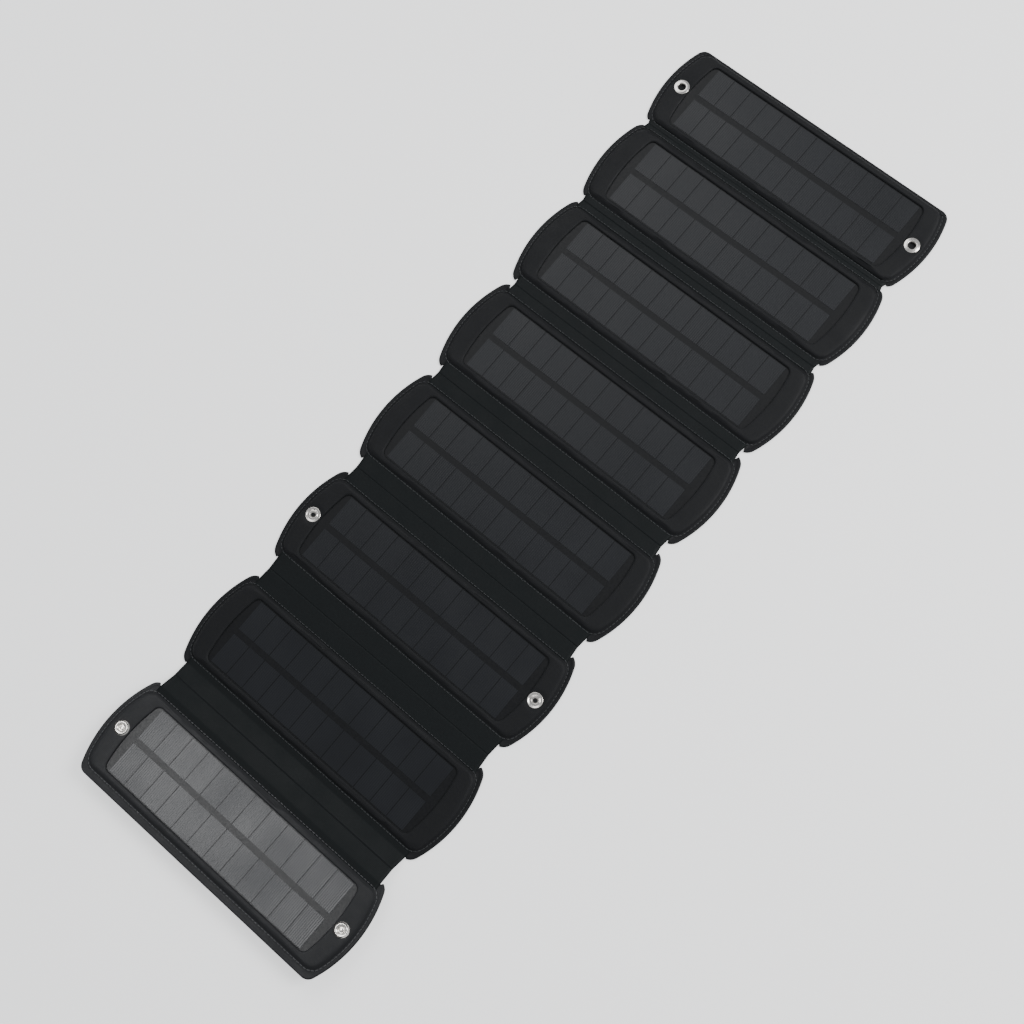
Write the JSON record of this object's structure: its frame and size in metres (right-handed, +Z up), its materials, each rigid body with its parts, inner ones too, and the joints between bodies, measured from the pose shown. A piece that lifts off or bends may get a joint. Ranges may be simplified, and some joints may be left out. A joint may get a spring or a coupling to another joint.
{
  "type": "folding solar blanket",
  "caption": "Fabric solar blanket of long padded panels joined by cloth hinges that wrap-fold into a flat pack, with corner eyelets, snaps and a rear output box.",
  "frame": {"origin": "on the ground under the centre of the blanket laid out flat", "axes": "+X along a panel, +Y from the panel with the output box towards the free end panel, +Z up out of the solar face"},
  "size_m": [0.2532, 0.7464, 0.0167],
  "materials": {
    "cover_cloth": "matte coated woven polyester, pressed over a thin pad",
    "back_cloth": "matte coated woven polyester",
    "hinge_cloth": "matte coated woven polyester, two layers",
    "laminate_sheet": "embossed clear film over a black backing sheet",
    "cell_film": "thin film cell under embossed film",
    "copper_lead": "bare rolled copper",
    "nickel_plate": "bright nickel plate",
    "box_plastic": "moulded, finely textured",
    "seal_rubber": "matte",
    "screw_steel": "zinc plated",
    "board_laminate": "solder mask",
    "component_black": "moulded",
    "socket_metal": "nickel plated brass"
  },
  "bodies": {
    "panel_1": {"panel_1_front_cover": "cover_cloth", "panel_1_back_cover": "back_cloth", "panel_1_laminate": "laminate_sheet", "panel_1_cells": "cell_film", "eyelet_barrels": "nickel_plate", "eyelet_washers": "nickel_plate"},
    "panel_2": {"panel_2_front_cover": "cover_cloth", "panel_2_back_cover": "back_cloth", "panel_2_laminate": "laminate_sheet", "panel_2_cells": "cell_film"},
    "panel_3": {"panel_3_front_cover": "cover_cloth", "panel_3_back_cover": "back_cloth", "panel_3_laminate": "laminate_sheet", "panel_3_cells": "cell_film"},
    "panel_4": {"panel_4_front_cover": "cover_cloth", "panel_4_back_cover": "back_cloth", "panel_4_laminate": "laminate_sheet", "panel_4_cells": "cell_film"},
    "panel_5": {"panel_5_front_cover": "cover_cloth", "panel_5_back_cover": "back_cloth", "panel_5_laminate": "laminate_sheet", "panel_5_cells": "cell_film"},
    "panel_6": {"panel_6_front_cover": "cover_cloth", "panel_6_back_cover": "back_cloth", "panel_6_laminate": "laminate_sheet", "panel_6_cells": "cell_film", "snap_posts": "nickel_plate", "snap_studs": "nickel_plate"},
    "panel_7": {"panel_7_front_cover": "cover_cloth", "panel_7_back_cover": "back_cloth", "panel_7_laminate": "laminate_sheet", "panel_7_cells": "cell_film"},
    "panel_8": {"panel_8_front_cover": "cover_cloth", "panel_8_back_cover": "back_cloth", "panel_8_laminate": "laminate_sheet", "panel_8_cells": "cell_film", "snap_sockets": "nickel_plate", "snap_caps": "nickel_plate", "output_box_tub": "box_plastic", "output_box_lid": "box_plastic", "lid_seal": "seal_rubber", "lid_screws": "screw_steel", "circuit_board": "board_laminate", "board_components": "component_black", "output_socket": "socket_metal"},
    "hinge_1": {"hinge_1_cloth": "hinge_cloth", "hinge_1_leads": "copper_lead"},
    "hinge_2": {"hinge_2_cloth": "hinge_cloth", "hinge_2_leads": "copper_lead"},
    "hinge_3": {"hinge_3_cloth": "hinge_cloth", "hinge_3_leads": "copper_lead"},
    "hinge_4": {"hinge_4_cloth": "hinge_cloth", "hinge_4_leads": "copper_lead"},
    "hinge_5": {"hinge_5_cloth": "hinge_cloth", "hinge_5_leads": "copper_lead"},
    "hinge_6": {"hinge_6_cloth": "hinge_cloth", "hinge_6_leads": "copper_lead"},
    "hinge_7": {"hinge_7_cloth": "hinge_cloth", "hinge_7_leads": "copper_lead"}
  },
  "joints": [
    {"name": "fold_7_far", "type": "hinge", "parent": "panel_7", "child": "hinge_7", "pos_m": [0, -0.26369, 0.0008], "axis": [-1, 0, 0], "range_deg": [0, 68.89]},
    {"name": "fold_7_near", "type": "hinge", "parent": "hinge_7", "child": "panel_8", "pos_m": [0, -0.28804, 0.0102], "axis": [-1, 0, 0], "range_deg": [0, 108.11]},
    {"name": "fold_6_far", "type": "hinge", "parent": "panel_6", "child": "hinge_6", "pos_m": [0, -0.15758, 0.0008], "axis": [-1, 0, 0], "range_deg": [0, 90]},
    {"name": "fold_6_near", "type": "hinge", "parent": "hinge_6", "child": "panel_7", "pos_m": [0, -0.18018, 0.0008], "axis": [-1, 0, 0], "range_deg": [0, 90]},
    {"name": "fold_5_far", "type": "hinge", "parent": "panel_5", "child": "hinge_5", "pos_m": [0, -0.05647, 0.0008], "axis": [-1, 0, 0], "range_deg": [0, 90]},
    {"name": "fold_5_near", "type": "hinge", "parent": "hinge_5", "child": "panel_6", "pos_m": [0, -0.07557, 0.0008], "axis": [-1, 0, 0], "range_deg": [0, 90]},
    {"name": "fold_4_near", "type": "hinge", "parent": "panel_5", "child": "hinge_4", "pos_m": [0, 0.02404, 0.0008], "axis": [1, 0, 0], "range_deg": [0, 90]},
    {"name": "fold_4_far", "type": "hinge", "parent": "hinge_4", "child": "panel_4", "pos_m": [0, 0.03964, 0.0008], "axis": [1, 0, 0], "range_deg": [0, 90]},
    {"name": "fold_3_near", "type": "hinge", "parent": "panel_4", "child": "hinge_3", "pos_m": [0, 0.11865, 0.0008], "axis": [1, 0, 0], "range_deg": [0, 90]},
    {"name": "fold_3_far", "type": "hinge", "parent": "hinge_3", "child": "panel_3", "pos_m": [0, 0.13075, 0.0008], "axis": [1, 0, 0], "range_deg": [0, 90]},
    {"name": "fold_2_near", "type": "hinge", "parent": "panel_3", "child": "hinge_2", "pos_m": [0, 0.20826, 0.0008], "axis": [1, 0, 0], "range_deg": [0, 90]},
    {"name": "fold_2_far", "type": "hinge", "parent": "hinge_2", "child": "panel_2", "pos_m": [0, 0.21686, 0.0008], "axis": [1, 0, 0], "range_deg": [0, 90]},
    {"name": "fold_1_near", "type": "hinge", "parent": "panel_2", "child": "hinge_1", "pos_m": [0, 0.29287, 0.0008], "axis": [1, 0, 0], "range_deg": [0, 90]},
    {"name": "fold_1_far", "type": "hinge", "parent": "hinge_1", "child": "panel_1", "pos_m": [0, 0.29797, 0.0008], "axis": [1, 0, 0], "range_deg": [0, 90]}
  ],
  "couplings": [
    {"joint": "fold_7_far", "follows": "fold_7_near", "ratio": 0.63722},
    {"joint": "fold_6_far", "follows": "fold_6_near", "ratio": 1},
    {"joint": "fold_5_far", "follows": "fold_5_near", "ratio": 1},
    {"joint": "fold_4_far", "follows": "fold_4_near", "ratio": 1},
    {"joint": "fold_3_far", "follows": "fold_3_near", "ratio": 1},
    {"joint": "fold_2_far", "follows": "fold_2_near", "ratio": 1},
    {"joint": "fold_1_far", "follows": "fold_1_near", "ratio": 1}
  ]
}
